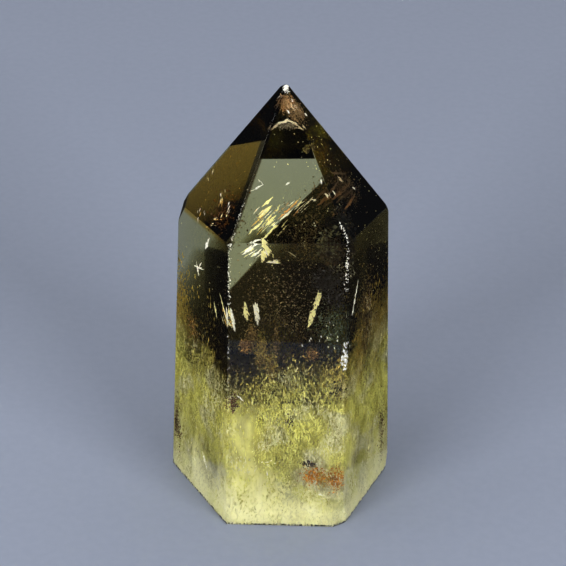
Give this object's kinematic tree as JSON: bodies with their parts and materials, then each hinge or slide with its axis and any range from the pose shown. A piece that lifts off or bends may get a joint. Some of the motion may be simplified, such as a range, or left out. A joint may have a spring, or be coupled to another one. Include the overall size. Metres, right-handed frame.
{
  "type": "citrine crystal point",
  "caption": "Polished citrine point: a tapering hexagonal column with a faceted pyramid top, clear above and cloudy below, standing upright on a flat cut base.",
  "frame": {"origin": "centre of the footprint, on the base", "axes": "+Z along the length from the base to the tip, -Y out of the front column face, +X to the right when that face is seen"},
  "size_m": [0.0398, 0.0342, 0.0798],
  "materials": {
    "citrine": "polished, transparent to cloudy"
  },
  "bodies": {
    "root": {"crystal_point": "citrine"}
  },
  "joints": []
}
